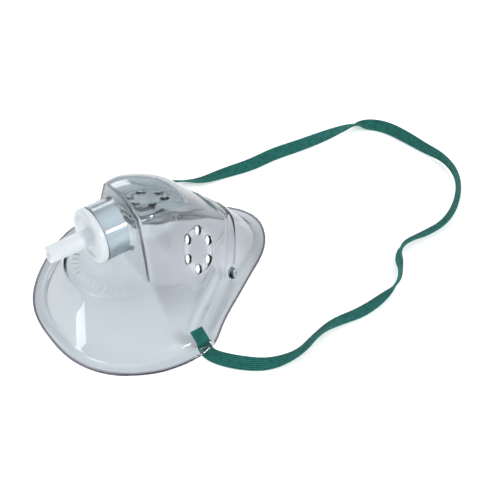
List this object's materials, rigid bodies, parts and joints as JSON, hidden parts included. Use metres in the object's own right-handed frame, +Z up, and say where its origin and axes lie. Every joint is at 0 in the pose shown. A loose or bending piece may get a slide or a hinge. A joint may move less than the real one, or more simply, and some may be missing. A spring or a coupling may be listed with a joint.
{
  "type": "oxygen face mask",
  "caption": "Clear oxygen face mask with a white swivel tubing connector and a green elastic head strap, lying on its rim.",
  "frame": {"origin": "on the plane the mask rests on, midway between the chin end and the nose end of its rim", "axes": "+X from the chin to the nose, +Y to the far ear tab, +Z up out of the face side through the nose section"},
  "size_m": [0.2485, 0.148, 0.0668],
  "materials": {
    "clear_plastic": "clear, soft, glossy",
    "white_plastic": "translucent white, satin gloss",
    "green_elastic": "woven, matt"
  },
  "bodies": {
    "mask": {"mask_shell": "clear_plastic", "strap_end_near": "green_elastic", "strap_end_far": "green_elastic", "head_strap": "green_elastic"},
    "connector": {"swivel_connector": "white_plastic"}
  },
  "joints": [
    {"name": "connector_swivel", "type": "hinge", "parent": "mask", "child": "connector", "pos_m": [-0.0325, 0, 0.0495], "axis": [-1, 0, 0], "continuous": true}
  ]
}
